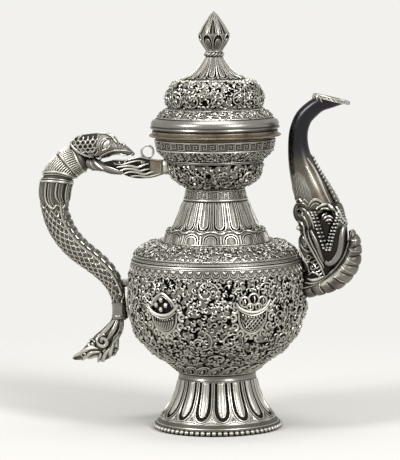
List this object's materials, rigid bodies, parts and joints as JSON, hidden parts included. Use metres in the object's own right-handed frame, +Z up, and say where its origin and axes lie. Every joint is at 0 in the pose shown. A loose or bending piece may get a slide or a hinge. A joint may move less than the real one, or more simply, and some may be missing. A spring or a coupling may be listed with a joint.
{
  "type": "silver teapot",
  "caption": "Himalayan ritual teapot in darkened silver: pierced belly, petalled foot, domed lid, sea-monster spout and dragon handle.",
  "frame": {"origin": "centre of the whole pot's bounding box, on the surface that it stands on", "axes": "+X from the handle towards the spout, +Z up, so -Y is the side in the picture"},
  "size_m": [0.253, 0.1406, 0.3275],
  "materials": {
    "chased_silver": "darkened in the hollows, bright on the ridges",
    "smooth_silver": "smooth, darkened",
    "tinned_liner": "dull grey"
  },
  "bodies": {
    "pot": {"arm_flange": "smooth_silver", "belly_jacket": "chased_silver", "belly_liner": "tinned_liner", "belly_liner_side": "tinned_liner", "belly_liner_top": "tinned_liner", "belly_liner_turn": "tinned_liner", "chain_loop": "smooth_silver", "cup_bead": "chased_silver", "cup_bowl": "chased_silver", "cup_liner": "tinned_liner", "dragon_eye_far": "smooth_silver", "dragon_eye_near": "smooth_silver", "dragon_jaw": "chased_silver", "dragon_skull": "chased_silver", "dragon_tail": "chased_silver", "foot_collar": "smooth_silver", "foot_rim": "chased_silver", "foot_shell": "chased_silver", "fret_band": "chased_silver", "handle_arm": "chased_silver", "handle_body": "chased_silver", "handle_bracket": "smooth_silver", "handle_mane_collar": "chased_silver", "handle_neck_collar": "chased_silver", "handle_scutes": "chased_silver", "handle_tail_cuff": "smooth_silver", "makara_eye_far": "chased_silver", "makara_eye_near": "chased_silver", "makara_head": "chased_silver", "makara_mane": "chased_silver", "makara_neck": "chased_silver", "makara_teeth_far": "chased_silver", "makara_teeth_near": "chased_silver", "makara_throat": "smooth_silver", "makara_trunk": "chased_silver", "mouth_ring": "smooth_silver", "neck_band": "chased_silver", "neck_cone": "chased_silver", "shoulder_plate": "chased_silver", "shoulder_ring": "chased_silver", "spout_crest": "chased_silver", "spout_horn": "smooth_silver", "spout_lip": "smooth_silver"},
    "lid": {"finial_bud": "chased_silver", "finial_rod": "smooth_silver", "finial_rope_ring": "chased_silver", "finial_washer": "smooth_silver", "lid_bezel": "smooth_silver", "lid_cone": "chased_silver", "lid_dome": "chased_silver", "lid_rim": "smooth_silver", "lid_skirt": "chased_silver"}
  },
  "joints": [
    {"name": "lid_lift", "type": "slide", "parent": "pot", "child": "lid", "axis": [0, 0, 1], "range_m": [0, 0.08]}
  ]
}
